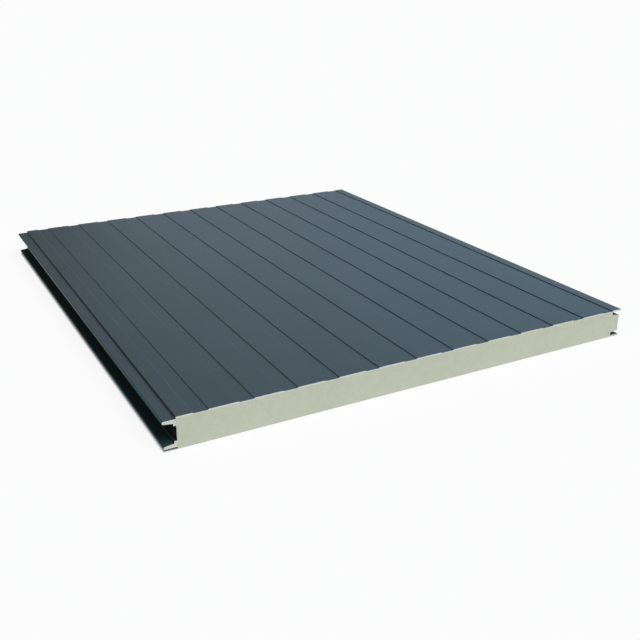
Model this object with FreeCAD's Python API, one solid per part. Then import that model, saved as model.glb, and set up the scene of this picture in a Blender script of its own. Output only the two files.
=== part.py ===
"""Insulated sandwich panel: two roll-formed steel sheets on one foam core.

Millimetres. X runs across the panel from the recess edge to the tongue edge, Y along its
length and Z up to the ribbed outer sheet. The origin is the middle of the underside.
The section is drawn with x = 0 at the foam wall of the recess edge and z = 0 at the
underside, and is then moved to the origin and run along Y.
"""
import FreeCAD, Part
import math
import os

# Whole panel
cover_width = 1000.0        # pitch of one panel to the next in a wall
panel_length = 1200.0
panel_thickness = 60.0      # over the raised bands
outer_gauge = 0.5           # steel of the ribbed outer sheet
inner_gauge = 0.4           # steel of the flat inner sheet

# Shallow lowered bands of the outer sheet
band_count = 12
band_pitch = cover_width / band_count
first_band = 28.9           # joint step to the first lowered band
band_width = 29.0           # lowered band, over both flanks
band_depth = 1.5
flank_run = 1.0

# Recess edge: a lip of each sheet, with a hooked return
lip_reach = 24.0
lip_setback = 4.0           # lip below the face of its sheet
lip_tip = 5.0               # lip thickness at its tip
lip_root = 7.5              # lip thickness at its root
hook_reach = 5.0            # hook in front of the foam wall
hook_depth = 4.5
liner_thickness = 1.0       # sealing strip on the foam wall

# Tongue edge: fits the recess edge of the next panel
joint_gap = 1.5             # open joint between two outer faces
flange_play = 0.5           # flange over lip
tip_play = 0.8              # groove past the lip's tip
tongue_play = 1.0           # tongue between the lips
tongue_end_play = 0.5       # tongue short of the hooks
tongue_return = 4.0         # sheet turned down over the tongue's corner

# Bends
bend_radius = 0.6           # inside a plain fold
groove_radius = 2.0         # inside the grooves
lip_radius = 2.3            # round the lip's tip
fillet_share = 0.49         # most of a leg that a bend may take

# Sections
SHARP = 0.0
flange_tip = cover_width - joint_gap
groove_back = cover_width - lip_reach - tip_play
tongue_face = cover_width - hook_reach - tongue_end_play
lip_top = panel_thickness - lip_setback
lip_tip_under = lip_top - lip_tip
lip_root_under = lip_top - lip_root
hook_under = lip_root_under - hook_depth
middle_x = (flange_tip - lip_reach) / 2


def lowered_bands():
    """Corners of the lowered bands, from the recess edge to the tongue edge."""
    corners = []
    for index in range(band_count):
        start = first_band + index * band_pitch
        end = start + band_width
        floor = panel_thickness - band_depth
        corners += [
            (start, panel_thickness, outer_gauge + bend_radius),
            (start + flank_run, floor, bend_radius),
            (end - flank_run, floor, bend_radius),
            (end, panel_thickness, outer_gauge + bend_radius),
        ]
    return corners


def exposed_face(gauge, bands):
    """Corners (x, z, radius) of an upper sheet's outer face, hook to tongue.

    The foam is always on the right of the line.
    """
    fold = gauge + bend_radius
    recess_edge = [
        (0.0, hook_under, SHARP),
        (-hook_reach, hook_under, fold),
        (-hook_reach, lip_root_under, bend_radius),
        (-lip_reach, lip_tip_under, lip_radius),
        (-lip_reach, lip_top, lip_radius),
        (0.0, lip_top, bend_radius),
        (0.0, panel_thickness, fold),
    ]
    tongue_edge = [
        (flange_tip, panel_thickness, fold),
        (flange_tip, lip_top + flange_play, fold),
        (groove_back, lip_top + flange_play, groove_radius),
        (groove_back, lip_tip_under - tongue_play, groove_radius),
        (tongue_face, lip_root_under - tongue_play, fold),
        (tongue_face, lip_root_under - tongue_play - tongue_return, SHARP),
    ]
    return recess_edge + bands + tongue_edge


def turned_over(corners):
    """The same corners for the lower sheet."""
    return [(x, panel_thickness - z, radius) for x, z, radius in corners]


def unit(start, end):
    """Direction from one corner to the next."""
    return FreeCAD.Vector(end[0] - start[0], 0, end[1] - start[1]).normalize()


def foam_side(corners, gauge):
    """The line on the right of the given one, a sheet's thickness away, with its bends."""
    shifted = []
    for index, (x, z, radius) in enumerate(corners):
        before = unit(corners[max(index - 1, 0)], corners[max(index, 1)])
        last = len(corners) - 1
        after = unit(corners[min(index, last - 1)], corners[min(index + 1, last)])
        right_before = FreeCAD.Vector(before.z, 0, -before.x)
        right_after = FreeCAD.Vector(after.z, 0, -after.x)
        mitre = (right_before + right_after) / (1 + right_before.dot(right_after))
        turn = math.copysign(1.0, right_before.dot(after))
        new_radius = radius - turn * gauge if radius else SHARP
        shifted.append((x + mitre.x * gauge, z + mitre.z * gauge, new_radius))
    return shifted


def rounded_face(corners):
    """Closed face through the corners, with an arc at each one that has a radius."""
    points = [FreeCAD.Vector(x - middle_x, -panel_length / 2, z) for x, z, _ in corners]
    arcs = []
    for index, corner in enumerate(points):
        before = points[index - 1] - corner
        after = points[(index + 1) % len(points)] - corner
        half_angle = before.getAngle(after) / 2
        shorter_leg = min(before.Length, after.Length)
        radius = min(corners[index][2], fillet_share * shorter_leg * math.tan(half_angle))
        tangent = radius / math.tan(half_angle)
        before.normalize()
        after.normalize()
        bisector = (before + after).normalize()
        crown = corner + bisector * (radius / math.sin(half_angle) - radius)
        arcs.append((corner + before * tangent, crown, corner + after * tangent, radius))
    edges = []
    for index, (start, crown, end, radius) in enumerate(arcs):
        if radius:
            edges.append(Part.Arc(start, crown, end).toShape())
        next_start = arcs[(index + 1) % len(arcs)][0]
        edges.append(Part.LineSegment(end, next_start).toShape())
    return Part.Face(Part.Wire(edges))


def run_along(corners):
    """Solid of a section over the panel's length."""
    return rounded_face(corners).extrude(FreeCAD.Vector(0, panel_length, 0))


outer_line = exposed_face(outer_gauge, lowered_bands())
outer_foam_line = foam_side(outer_line, outer_gauge)
inner_line = exposed_face(inner_gauge, [])
inner_foam_line = foam_side(inner_line, inner_gauge)


def outer_sheet():
    """Ribbed steel sheet with its lip, flange and returns, folded from one strip."""
    return run_along(outer_line + outer_foam_line[::-1])


def inner_sheet():
    """Flat steel sheet with the same edges, turned over."""
    return run_along(turned_over(inner_line + inner_foam_line[::-1]))


def foam_core():
    """Foam that fills everything between the two sheets."""
    return run_along(outer_foam_line + turned_over(inner_foam_line)[::-1])


def joint_liner():
    """Sealing strip on the recess wall, between the hooks of the two sheets."""
    strip_bottom = panel_thickness - hook_under
    corners = [
        (-liner_thickness, strip_bottom, SHARP),
        (0.0, strip_bottom, SHARP),
        (0.0, hook_under, SHARP),
        (-liner_thickness, hook_under, SHARP),
    ]
    return run_along(corners)


os.makedirs("parts", exist_ok=True)
for piece in (outer_sheet, inner_sheet, foam_core, joint_liner):
    piece().exportStep(f"parts/{piece.__name__}.step")
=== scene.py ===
import math
import bmesh
import bpy
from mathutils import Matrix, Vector


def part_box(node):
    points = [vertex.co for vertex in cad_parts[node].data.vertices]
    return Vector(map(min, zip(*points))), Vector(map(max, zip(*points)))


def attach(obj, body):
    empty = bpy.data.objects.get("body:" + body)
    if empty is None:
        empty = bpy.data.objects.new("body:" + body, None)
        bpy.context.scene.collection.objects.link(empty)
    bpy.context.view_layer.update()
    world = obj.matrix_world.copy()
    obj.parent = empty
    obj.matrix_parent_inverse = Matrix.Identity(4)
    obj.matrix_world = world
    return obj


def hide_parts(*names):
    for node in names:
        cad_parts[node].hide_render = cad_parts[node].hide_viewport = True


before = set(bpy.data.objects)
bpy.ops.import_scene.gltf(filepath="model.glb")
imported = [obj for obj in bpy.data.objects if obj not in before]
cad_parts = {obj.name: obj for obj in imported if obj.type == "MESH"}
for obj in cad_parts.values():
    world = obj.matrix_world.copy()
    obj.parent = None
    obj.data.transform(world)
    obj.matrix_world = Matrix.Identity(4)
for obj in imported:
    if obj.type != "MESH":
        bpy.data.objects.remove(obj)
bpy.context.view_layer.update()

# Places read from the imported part, in metres
sheet_low, sheet_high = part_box("outer_sheet")
liner_low, liner_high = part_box("joint_liner")
LIP_TIP_X = sheet_low.x
FLANGE_TIP_X = sheet_high.x
FOAM_WALL_X = liner_high.x
HOOK_UNDER = liner_high.z
THICKNESS = sheet_high.z
LENGTH = sheet_high.y - sheet_low.y

# Sheets
OUTER_GAUGE = 0.0005
INNER_GAUGE = 0.0004
COVER_WIDTH = 1.0
BAND_COUNT = 12
BAND_PITCH = COVER_WIDTH / BAND_COUNT
FIRST_BAND = 0.0289
BAND_WIDTH = 0.0290
BAND_DEPTH = 0.0015
FLANK_RUN = 0.0010
BEND_RADIUS = 0.0006
GROOVE_RADIUS = 0.0020
LIP_RADIUS = 0.0023
BEND_STEPS = 5

# Joint edges
LIP_SETBACK = 0.0040
LIP_TIP = 0.0050
LIP_ROOT = 0.0075
HOOK_REACH = 0.0050
FLANGE_PLAY = 0.0005
TIP_PLAY = 0.0008
TONGUE_PLAY = 0.0010
TONGUE_END_PLAY = 0.0005
TONGUE_RETURN = 0.0040
LIP_TOP = THICKNESS - LIP_SETBACK
LIP_TIP_UNDER = LIP_TOP - LIP_TIP
LIP_ROOT_UNDER = LIP_TOP - LIP_ROOT
HOOK_FACE_X = FOAM_WALL_X - HOOK_REACH
GROOVE_BACK_X = LIP_TIP_X + COVER_WIDTH - TIP_PLAY
TONGUE_FACE_X = HOOK_FACE_X + COVER_WIDTH - TONGUE_END_PLAY

# Sawn foam ends
SAWN_CELL = 0.0018
SAWN_RELIEF = 0.00035
BLANK_MARGIN = 0.004

# Sealing strip
STRIP_EASE = 0.0003

# Two points closer than this are one place
SAME_PLACE = 0.00001


# ---------------------------------------------------------------- folded section
def exposed_face(gauge, bands):
    """Corners (x, z, radius) of an upper sheet's outer face, from hook to tongue."""
    fold = gauge + BEND_RADIUS
    flange_under = LIP_TOP + FLANGE_PLAY
    recess_edge = [
        (FOAM_WALL_X, HOOK_UNDER, 0),
        (HOOK_FACE_X, HOOK_UNDER, fold),
        (HOOK_FACE_X, LIP_ROOT_UNDER, BEND_RADIUS),
        (LIP_TIP_X, LIP_TIP_UNDER, LIP_RADIUS),
        (LIP_TIP_X, LIP_TOP, LIP_RADIUS),
        (FOAM_WALL_X, LIP_TOP, BEND_RADIUS),
        (FOAM_WALL_X, THICKNESS, fold),
    ]
    tongue_edge = [
        (FLANGE_TIP_X, THICKNESS, fold),
        (FLANGE_TIP_X, flange_under, fold),
        (GROOVE_BACK_X, flange_under, GROOVE_RADIUS),
        (GROOVE_BACK_X, LIP_TIP_UNDER - TONGUE_PLAY, GROOVE_RADIUS),
        (TONGUE_FACE_X, LIP_ROOT_UNDER - TONGUE_PLAY, fold),
        (TONGUE_FACE_X, LIP_ROOT_UNDER - TONGUE_PLAY - TONGUE_RETURN, 0),
    ]
    return recess_edge + bands + tongue_edge


def lowered_bands():
    """Corners of the lowered bands of the outer sheet."""
    corners = []
    for index in range(BAND_COUNT):
        start = FOAM_WALL_X + FIRST_BAND + index * BAND_PITCH
        end = start + BAND_WIDTH
        floor = THICKNESS - BAND_DEPTH
        corners += [
            (start, THICKNESS, OUTER_GAUGE + BEND_RADIUS),
            (start + FLANK_RUN, floor, BEND_RADIUS),
            (end - FLANK_RUN, floor, BEND_RADIUS),
            (end, THICKNESS, OUTER_GAUGE + BEND_RADIUS),
        ]
    return corners


def turned_over(corners):
    """The same corners for the lower sheet."""
    return [(x, THICKNESS - z, radius) for x, z, radius in corners]


def direction(start, end):
    """Unit vector from one corner to the next."""
    return Vector((end[0] - start[0], 0, end[1] - start[1])).normalized()


def foam_side(corners, gauge):
    """The line a sheet's thickness to the right of the given one, with its bends."""
    shifted = []
    last = len(corners) - 1
    for index, (x, z, radius) in enumerate(corners):
        before = direction(corners[max(index - 1, 0)], corners[max(index, 1)])
        after = direction(corners[min(index, last - 1)], corners[min(index + 1, last)])
        right_before = Vector((before.z, 0, -before.x))
        right_after = Vector((after.z, 0, -after.x))
        mitre = (right_before + right_after) / (1 + right_before.dot(right_after))
        turn = math.copysign(1, right_before.dot(after))
        new_radius = radius - turn * gauge if radius else 0
        shifted.append((x + mitre.x * gauge, z + mitre.z * gauge, new_radius))
    return shifted


# ---------------------------------------------------------------- modelling steps
def only(piece):
    """Selects one object and nothing else."""
    bpy.ops.object.select_all(action="DESELECT")
    piece.select_set(True)
    bpy.context.view_layer.objects.active = piece


def select_edges(piece, wanted):
    """In edit mode, selects the edges whose two ends satisfy a test."""
    bpy.ops.mesh.select_mode(type="EDGE")
    bpy.ops.mesh.select_all(action="DESELECT")
    mesh = bmesh.from_edit_mesh(piece.data)
    for edge in mesh.edges:
        if wanted(edge.verts[0].co) and wanted(edge.verts[1].co):
            edge.select = True
    bmesh.update_edit_mesh(piece.data)


def near(x, z):
    """A test for points on the line along Y through (x, z)."""
    return lambda place: abs(place.x - x) < SAME_PLACE and abs(place.z - z) < SAME_PLACE


def fold_strip(name, corners, closed, length):
    """A strip one leg wide, extruded leg by leg round the corners, then bent at each one."""
    legs = list(zip(corners, corners[1:] + corners[:1]))
    if not closed:
        legs.pop()
    (x0, z0, _), (x1, z1, _) = legs[0]
    bpy.ops.object.select_all(action="DESELECT")
    bpy.ops.mesh.primitive_plane_add(
        size=1,
        location=((x0 + x1) / 2, 0, (z0 + z1) / 2),
        rotation=(0, -math.atan2(z1 - z0, x1 - x0), 0),
    )
    piece = bpy.context.object
    piece.name = name
    piece.data.name = name
    piece.scale = (math.hypot(x1 - x0, z1 - z0), length, 1)
    bpy.ops.object.transform_apply(location=True, rotation=True, scale=True)
    bpy.ops.object.mode_set(mode="EDIT")
    select_edges(piece, near(x1, z1))
    for (x0, z0, _), (x1, z1, _) in legs[1:]:
        bpy.ops.mesh.extrude_region_move(
            TRANSFORM_OT_translate={"value": (x1 - x0, 0, z1 - z0)}
        )
    if closed:
        bpy.ops.mesh.select_all(action="SELECT")
        bpy.ops.mesh.remove_doubles(threshold=1e-6)
    for index, (x, z, radius) in enumerate(corners):
        if radius:
            before = direction((x, z), corners[index - 1])
            after = direction((x, z), corners[(index + 1) % len(corners)])
            tangent = radius / math.tan(before.angle(after) / 2)
            select_edges(piece, near(x, z))
            bpy.ops.mesh.bevel(
                offset=tangent, segments=BEND_STEPS, profile=0.5, clamp_overlap=False
            )
    bpy.ops.object.mode_set(mode="OBJECT")
    return piece


def apply_modifier(piece, kind, **settings):
    """Adds one modifier and applies it."""
    only(piece)
    modifier = piece.modifiers.new(kind.title(), kind)
    for name, value in settings.items():
        setattr(modifier, name, value)
    bpy.ops.object.modifier_apply(modifier=modifier.name)


def shade(piece, degrees=40):
    """Smooth bends, sharp cut edges."""
    only(piece)
    bpy.ops.object.shade_smooth_by_angle(angle=math.radians(degrees))


def formed_sheet(name, corners, gauge, outward):
    """A roll-formed sheet of the given gauge behind its exposed face."""
    piece = fold_strip(name, corners, False, LENGTH)
    if piece.data.polygons[0].normal.dot(outward) < 0:
        only(piece)
        bpy.ops.object.mode_set(mode="EDIT")
        bpy.ops.mesh.select_all(action="SELECT")
        bpy.ops.mesh.flip_normals()
        bpy.ops.object.mode_set(mode="OBJECT")
    apply_modifier(piece, "SOLIDIFY", thickness=gauge, offset=-1, use_even_offset=True)
    shade(piece)
    apply_modifier(piece, "WEIGHTED_NORMAL", keep_sharp=True, weight=100)
    return piece


# ---------------------------------------------------------------- shader maths
class Value:
    """A socket that can be used in sums."""

    def __init__(self, finish, socket):
        self.finish = finish
        self.socket = socket

    def maths(self, operation, *others):
        sockets = dict(enumerate((self, *others)))
        return self.finish.node("Math", {"operation": operation}, sockets)

    def __add__(self, other):
        return self.maths("ADD", other)

    def __sub__(self, other):
        return self.maths("SUBTRACT", other)

    def __rsub__(self, other):
        return self.finish.node("Math", {"operation": "SUBTRACT"}, {0: other, 1: self})

    def __mul__(self, other):
        return self.maths("MULTIPLY", other)

    __radd__ = __add__
    __rmul__ = __mul__


class Finish:
    """The nodes of one material or of the world."""

    def __init__(self, owner):
        owner.use_nodes = True
        self.tree = owner.node_tree
        self.tree.nodes.clear()

    def node(self, kind, settings=None, sockets=None, output=0):
        """Adds a node: its settings first, then values or links, and gives one output."""
        made = self.tree.nodes.new("ShaderNode" + kind)
        for name, value in (settings or {}).items():
            setattr(made, name, value)
        for name, value in (sockets or {}).items():
            if isinstance(value, Value):
                self.tree.links.new(value.socket, made.inputs[name])
            else:
                made.inputs[name].default_value = value
        return Value(self, made.outputs[output]) if made.outputs else made

    def place(self, scale=(1, 1, 1)):
        """Object coordinates in metres, stretched by a scale for each axis."""
        point = self.node("TexCoord", output="Object")
        return self.node("VectorMath", {"operation": "MULTIPLY"}, {0: point, 1: scale})

    def noise(self, scale, detail=2.0, stretch=(1, 1, 1)):
        """Even noise from 0 to 1, with so many waves to the metre."""
        sockets = {"Vector": self.place(stretch), "Scale": scale, "Detail": detail}
        return self.node("TexNoise", None, sockets)

    def cells(self, scale, feature="F1", output="Distance"):
        """Distance to the nearest cell middle or wall."""
        sockets = {"Vector": self.place(), "Scale": scale}
        return self.node("TexVoronoi", {"feature": feature}, sockets, output)

    def mix(self, share, first, second):
        """Colour from first to second."""
        sockets = {0: share, 6: first, 7: second}
        return self.node("Mix", {"data_type": "RGBA"}, sockets, 2)

    def between(self, value, low, high):
        """0 below low, 1 above high, smooth in between."""
        settings = {"interpolation_type": "SMOOTHSTEP"}
        return self.node("MapRange", settings, {"Value": value, 1: low, 2: high})

    def axis(self, name):
        """One object coordinate."""
        return self.node("SeparateXYZ", None, {0: self.place()}, name)

    def bump(self, height, depth):
        """A normal from heights of 0 to 1 that stand for a depth in metres."""
        return self.node("Bump", None, {"Height": height, "Distance": depth})

    def surface(self, **sockets):
        """Ends a material in one Principled shader."""
        named = {name.replace("_", " "): value for name, value in sockets.items()}
        shader = self.node("BsdfPrincipled", None, named)
        self.node("OutputMaterial", None, {"Surface": shader})


def material(name):
    """A new material and its nodes."""
    made = bpy.data.materials.new(name)
    return made, Finish(made)


# ---------------------------------------------------------------- finishes
ANTHRACITE = (0.036, 0.056, 0.070)
# Width over which the painted shade on the joint faces fades in
JOINT_SHADE_FADE = 0.0002
BARE_EDGE = 0.00004
SKIN_FULL = 0.0020
SKIN_GONE = 0.0045
SKIN_AT_RECESS = 0.0030


def joint_shade_faces(finish):
    """1 on the faces that meet the next panel inside the joint, 0 on the others; marks where the
    coating gets painted shade.
    """
    from_middle = (finish.axis("Z") - THICKNESS / 2).maths("ABSOLUTE")
    recess_limit = LIP_TIP_UNDER + LIP_RADIUS / 3 - THICKNESS / 2
    groove_limit = LIP_TOP + FLANGE_PLAY + BEND_RADIUS / 2 - THICKNESS / 2
    edge = finish.between(finish.axis("X"), -JOINT_SHADE_FADE, JOINT_SHADE_FADE)
    limit = recess_limit + edge * (groove_limit - recess_limit)
    return 1 - finish.between(from_middle - limit, -JOINT_SHADE_FADE, JOINT_SHADE_FADE)


def coil_coating(name, colour):
    """Satin coil coating with rolling streaks, painted shade on the joint faces, bare cut ends.
    """
    made, finish = material(name)
    drift = finish.noise(5, 2)
    streaks = finish.noise(260, 3, (1, 0.012, 1))
    grain = finish.noise(1500, 2)
    shade_share = finish.between(drift * 0.7 + streaks * 0.3, 0.3, 0.7)
    dark = [channel * 0.93 for channel in colour] + [1]
    light = [channel * 1.07 for channel in colour] + [1]
    coat = finish.mix(shade_share, dark, light)
    # Painted shade: a near-black colour on the faces inside the joint, darkening the recess and
    # grooves
    painted_joint_shade = finish.mix(streaks, (0.013, 0.038, 0.046, 1), (0.020, 0.050, 0.060, 1))
    joint_shade_share = joint_shade_faces(finish)
    end = finish.axis("Y").maths("ABSOLUTE")
    cut = finish.between(end, LENGTH / 2 - BARE_EDGE, LENGTH / 2 - BARE_EDGE / 2)
    steel = finish.mix(grain, (0.72, 0.74, 0.74, 1), (0.95, 0.96, 0.95, 1))
    finish.surface(
        Base_Color=finish.mix(cut, finish.mix(joint_shade_share, coat, painted_joint_shade), steel),
        Roughness=0.34 + 0.05 * streaks + 0.05 * grain + 0.4 * joint_shade_share,
        Metallic=0.0,
        Normal=finish.bump(grain * 0.6 + streaks * 0.4, 2.0e-5),
    )
    return made


def sawn_foam():
    """Rigid foam with fine cells, denser and lighter under the outer sheet and at the recess."""
    made, finish = material("rigid_foam")
    cell = finish.cells(1300)
    mottle = finish.noise(70, 4)
    clouds = finish.noise(9, 2)
    depth = THICKNESS - finish.axis("Z")
    inward = finish.axis("X") - FOAM_WALL_X
    body_depth = finish.between(depth, SKIN_FULL, SKIN_GONE)
    body_inward = finish.between(inward, -2 * SKIN_AT_RECESS, SKIN_AT_RECESS)
    skin = 1 - body_depth.maths("MINIMUM", body_inward)
    body = finish.mix(
        finish.between(mottle * 0.6 + clouds * 0.4, 0.3, 0.7),
        (0.578, 0.600, 0.496, 1),
        (0.619, 0.641, 0.532, 1),
    )
    pitted = finish.mix(finish.between(cell, 0.25, 0.75) * 0.16, body, (0.33, 0.34, 0.25, 1))
    finish.surface(
        Base_Color=finish.mix(skin * 0.75, pitted, (0.73, 0.76, 0.69, 1)),
        Roughness=0.86 + 0.1 * mottle,
        Specular_IOR_Level=0.12,
        Normal=finish.bump(cell * 0.7 + mottle * 0.3, 1.6e-4),
    )
    return made


def sealing_strip():
    """Matt black closed-cell strip."""
    made, finish = material("sealing_strip")
    cell = finish.cells(900)
    patch = finish.noise(40, 3)
    finish.surface(
        Base_Color=finish.mix(patch, (0.010, 0.010, 0.010, 1), (0.020, 0.020, 0.019, 1)),
        Roughness=0.8 + 0.15 * cell,
        Specular_IOR_Level=0.2,
        Normal=finish.bump(cell, 8e-5),
    )
    return made


# ---------------------------------------------------------------- pieces
def sawn_blank(left, right):
    """A block whose two ends are sawn faces with a shallow torn relief."""
    width = right - left + 2 * BLANK_MARGIN
    height = THICKNESS + 2 * BLANK_MARGIN
    bpy.ops.object.select_all(action="DESELECT")
    bpy.ops.mesh.primitive_grid_add(
        x_subdivisions=round(width / SAWN_CELL),
        y_subdivisions=round(height / SAWN_CELL),
        size=1,
        location=((left + right) / 2, -LENGTH / 2, THICKNESS / 2),
        rotation=(math.radians(90), 0, 0),
    )
    blank = bpy.context.object
    blank.scale = (width, height, 1)
    bpy.ops.object.transform_apply(location=True, rotation=True, scale=True)
    bpy.ops.object.mode_set(mode="EDIT")
    bpy.ops.mesh.select_all(action="SELECT")
    bpy.ops.mesh.extrude_region_move(TRANSFORM_OT_translate={"value": (0, LENGTH, 0)})
    bpy.ops.mesh.select_all(action="SELECT")
    bpy.ops.mesh.normals_make_consistent(inside=False)
    bpy.ops.object.mode_set(mode="OBJECT")
    tearing = bpy.data.textures.new("tearing", "CLOUDS")
    tearing.noise_scale = 0.004
    tearing.noise_depth = 3
    apply_modifier(
        blank,
        "DISPLACE",
        texture=tearing,
        texture_coords="LOCAL",
        direction="NORMAL",
        mid_level=1.0,
        strength=SAWN_RELIEF,
    )
    return blank


def foam_core(outer_line, inner_line):
    """The foam, filled between the sheets and sawn square at both ends."""
    outline = foam_side(outer_line, OUTER_GAUGE)
    outline += turned_over(foam_side(inner_line, INNER_GAUGE))[::-1]
    core = fold_strip("foam_core_sawn", outline, True, LENGTH + 2 * BLANK_MARGIN)
    bpy.ops.object.mode_set(mode="EDIT")
    for end in (-1, 1):
        limit = end * (LENGTH / 2 + BLANK_MARGIN)
        select_edges(core, lambda place, limit=limit: abs(place.y - limit) < SAME_PLACE)
        bpy.ops.mesh.edge_face_add()
    bpy.ops.mesh.select_all(action="SELECT")
    bpy.ops.mesh.normals_make_consistent(inside=False)
    bpy.ops.object.mode_set(mode="OBJECT")
    blank = sawn_blank(LIP_TIP_X, FLANGE_TIP_X)
    apply_modifier(core, "BOOLEAN", object=blank, operation="INTERSECT", solver="EXACT")
    bpy.data.objects.remove(blank)
    shade(core, 50)
    return core


def joint_liner():
    """The sealing strip on the recess wall, with its long edges eased."""
    middle = (liner_low + liner_high) / 2
    bpy.ops.object.select_all(action="DESELECT")
    bpy.ops.mesh.primitive_cube_add(size=1, location=middle)
    strip = bpy.context.object
    strip.name = "joint_liner_strip"
    strip.scale = liner_high - liner_low
    bpy.ops.object.transform_apply(location=True, rotation=True, scale=True)
    bpy.ops.object.mode_set(mode="EDIT")
    select_edges(strip, lambda place: place.x < middle.x)
    bpy.ops.mesh.bevel(offset=STRIP_EASE, segments=3)
    bpy.ops.object.mode_set(mode="OBJECT")
    shade(strip)
    return strip


def dress(piece, node, finish):
    """Gives a piece its finish and its place in the part."""
    piece.data.materials.clear()
    piece.data.materials.append(finish)
    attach(piece, "root")
    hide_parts(node)


outer_line = exposed_face(OUTER_GAUGE, lowered_bands())
inner_line = exposed_face(INNER_GAUGE, [])
dress(
    formed_sheet("outer_sheet_formed", outer_line, OUTER_GAUGE, Vector((0, 0, -1))),
    "outer_sheet",
    coil_coating("outer_coating", ANTHRACITE),
)
dress(
    formed_sheet("inner_sheet_formed", turned_over(inner_line), INNER_GAUGE, Vector((0, 0, 1))),
    "inner_sheet",
    coil_coating("inner_coating", ANTHRACITE),
)
dress(foam_core(outer_line, inner_line), "foam_core", sawn_foam())
dress(joint_liner(), "joint_liner", sealing_strip())


# ---------------------------------------------------------------- studio
WHITE = (1, 1, 1, 1)
FLOOR_SIZE = 120
FLOOR_GAP = 0.0002
FLOOR_COLOUR = (0.86, 0.86, 0.86, 1)
FLOOR_SEEN = 0.90
FLOOR_MIRRORED = 0.99
FLOOR_FRONT_SHEEN = (0.16, 0.36, 0.42, 1)
FLOOR_REAR_SHEEN = (0.85, 1.0, 1.0, 1)
SHADOW_EDGE = 0.004
BACKDROP_LEVEL = 0.975

LEFT_WALL = (0.135, 0.148, 0.05, 1)
MIDDLE_WALL = (0.67, 0.84, 1.0, 1)
RIGHT_WALL = (0.66, 1.04, 1.36, 1)
FRONT_WALL = (0.98, 1.0, 1.02, 1)
FRONT_LEVEL = 0.60
CEILING_LEVEL = 0.60
CORNER_GLOW = (0.80, 0.92, 0.94, 1)
CORNER_LEVEL = 0.8
KEY_FROM = (0.35, -0.50, 1.05)
KEY_STRENGTH = 1.70
KEY_SPREAD = 45


def studio_floor():
    """A wide pale floor that keeps the part's shadow, with a cooler sheen in reflections."""
    bpy.ops.object.select_all(action="DESELECT")
    bpy.ops.mesh.primitive_plane_add(size=FLOOR_SIZE, location=(0, 0, -FLOOR_GAP))
    floor = bpy.context.object
    floor.name = "studio_floor"
    made, finish = material("studio_floor")
    seen = finish.node("LightPath", output="Is Camera Ray")
    mirrored = finish.node("LightPath", output="Is Glossy Ray")
    to_rear = finish.between(finish.axis("Y"), -0.6, 0.5)
    sheen = finish.mix(to_rear, FLOOR_FRONT_SHEEN, FLOOR_REAR_SHEEN)
    colour = finish.mix(mirrored, WHITE, sheen)
    lit = finish.node("BsdfDiffuse", None, {"Color": FLOOR_COLOUR})
    glow = finish.node("Emission", None, {"Color": colour, "Strength": 1.0})
    across = finish.axis("X").maths("ABSOLUTE")
    along = finish.axis("Y").maths("ABSOLUTE")
    beside = finish.between(across, FLANGE_TIP_X - SHADOW_EDGE, FLANGE_TIP_X + SHADOW_EDGE)
    beyond = finish.between(along, LENGTH / 2 - SHADOW_EDGE, LENGTH / 2 + SHADOW_EDGE)
    open_floor = beside.maths("MAXIMUM", beyond)
    share = open_floor * (seen * FLOOR_SEEN + mirrored * FLOOR_MIRRORED)
    shader = finish.node("MixShader", None, {0: share, 1: lit, 2: glow})
    finish.node("OutputMaterial", None, {"Surface": shader})
    floor.data.materials.append(made)


def studio_light():
    """A soft lamp, a dim wall behind the left, cool walls to the right and a paler front."""
    world = bpy.data.worlds.new("studio")
    bpy.context.scene.world = world
    finish = Finish(world)
    heading = finish.node("TexCoord", output="Generated")
    # Each part of a heading runs from -1 to 1
    right, rear, up = [finish.node("SeparateXYZ", None, {0: heading}, name) for name in "XYZ"]
    left = 0 - right
    wall = finish.mix(finish.between(right, 0.13, 0.295), LEFT_WALL, MIDDLE_WALL)
    wall = finish.mix(finish.between(right, 0.36, 0.76), wall, RIGHT_WALL)
    wall_level = 1.05 - 0.88 * finish.between(up, 0.32, 0.50)
    wall_level = wall_level * (0.12 + 0.95 * finish.between(up, 0.06, 0.24))
    front = finish.between(0 - rear, -0.15, 0.25)
    front_level = FRONT_LEVEL * (1 - 0.80 * finish.between(left, 0.10, 0.60))
    level = wall_level + front * (front_level - wall_level)
    ceiling = finish.between(up, 0.45, 0.95) * finish.between(right, -0.25, 0.35)
    corner = finish.between(left, 0.12, 0.40) * finish.between(rear, 0.50, 0.80)
    corner = corner * (1 - finish.between(up, 0.10, 0.32))
    around = finish.mix(front, wall, FRONT_WALL)
    lit = finish.node("Background", None, {"Color": around, "Strength": level})
    for colour, strength in (
        (WHITE, ceiling * CEILING_LEVEL),
        (CORNER_GLOW, corner * CORNER_LEVEL),
    ):
        glow = finish.node("Background", None, {"Color": colour, "Strength": strength})
        lit = finish.node("AddShader", None, {0: lit, 1: glow})
    backdrop = finish.node("Background", None, {"Color": WHITE, "Strength": BACKDROP_LEVEL})
    seen = finish.node("LightPath", output="Is Camera Ray")
    shader = finish.node("MixShader", None, {0: seen, 1: lit, 2: backdrop})
    finish.node("OutputWorld", None, {"Surface": shader})
    key = bpy.data.lights.new("key", "SUN")
    key.energy = KEY_STRENGTH
    key.angle = math.radians(KEY_SPREAD)
    lamp = bpy.data.objects.new("key", key)
    lamp.rotation_euler = Vector(KEY_FROM).to_track_quat("Z", "Y").to_euler()
    bpy.context.scene.collection.objects.link(lamp)


def camera():
    """A standing view over the front left corner, level across and looking down."""
    lens = bpy.data.cameras.new("view")
    lens.lens = 48.69
    lens.sensor_width = 36
    lens.clip_end = 200
    down = math.radians(22.420)
    to_right = math.radians(28.455)
    view = bpy.data.objects.new("view", lens)
    view.location = (-0.8722, -1.8034, 0.7427)
    view.rotation_euler = (math.pi / 2 - down, 0, -to_right)
    bpy.context.scene.collection.objects.link(view)
    bpy.context.scene.camera = view


studio_floor()
studio_light()
camera()
bpy.context.scene.view_settings.view_transform = "Standard"
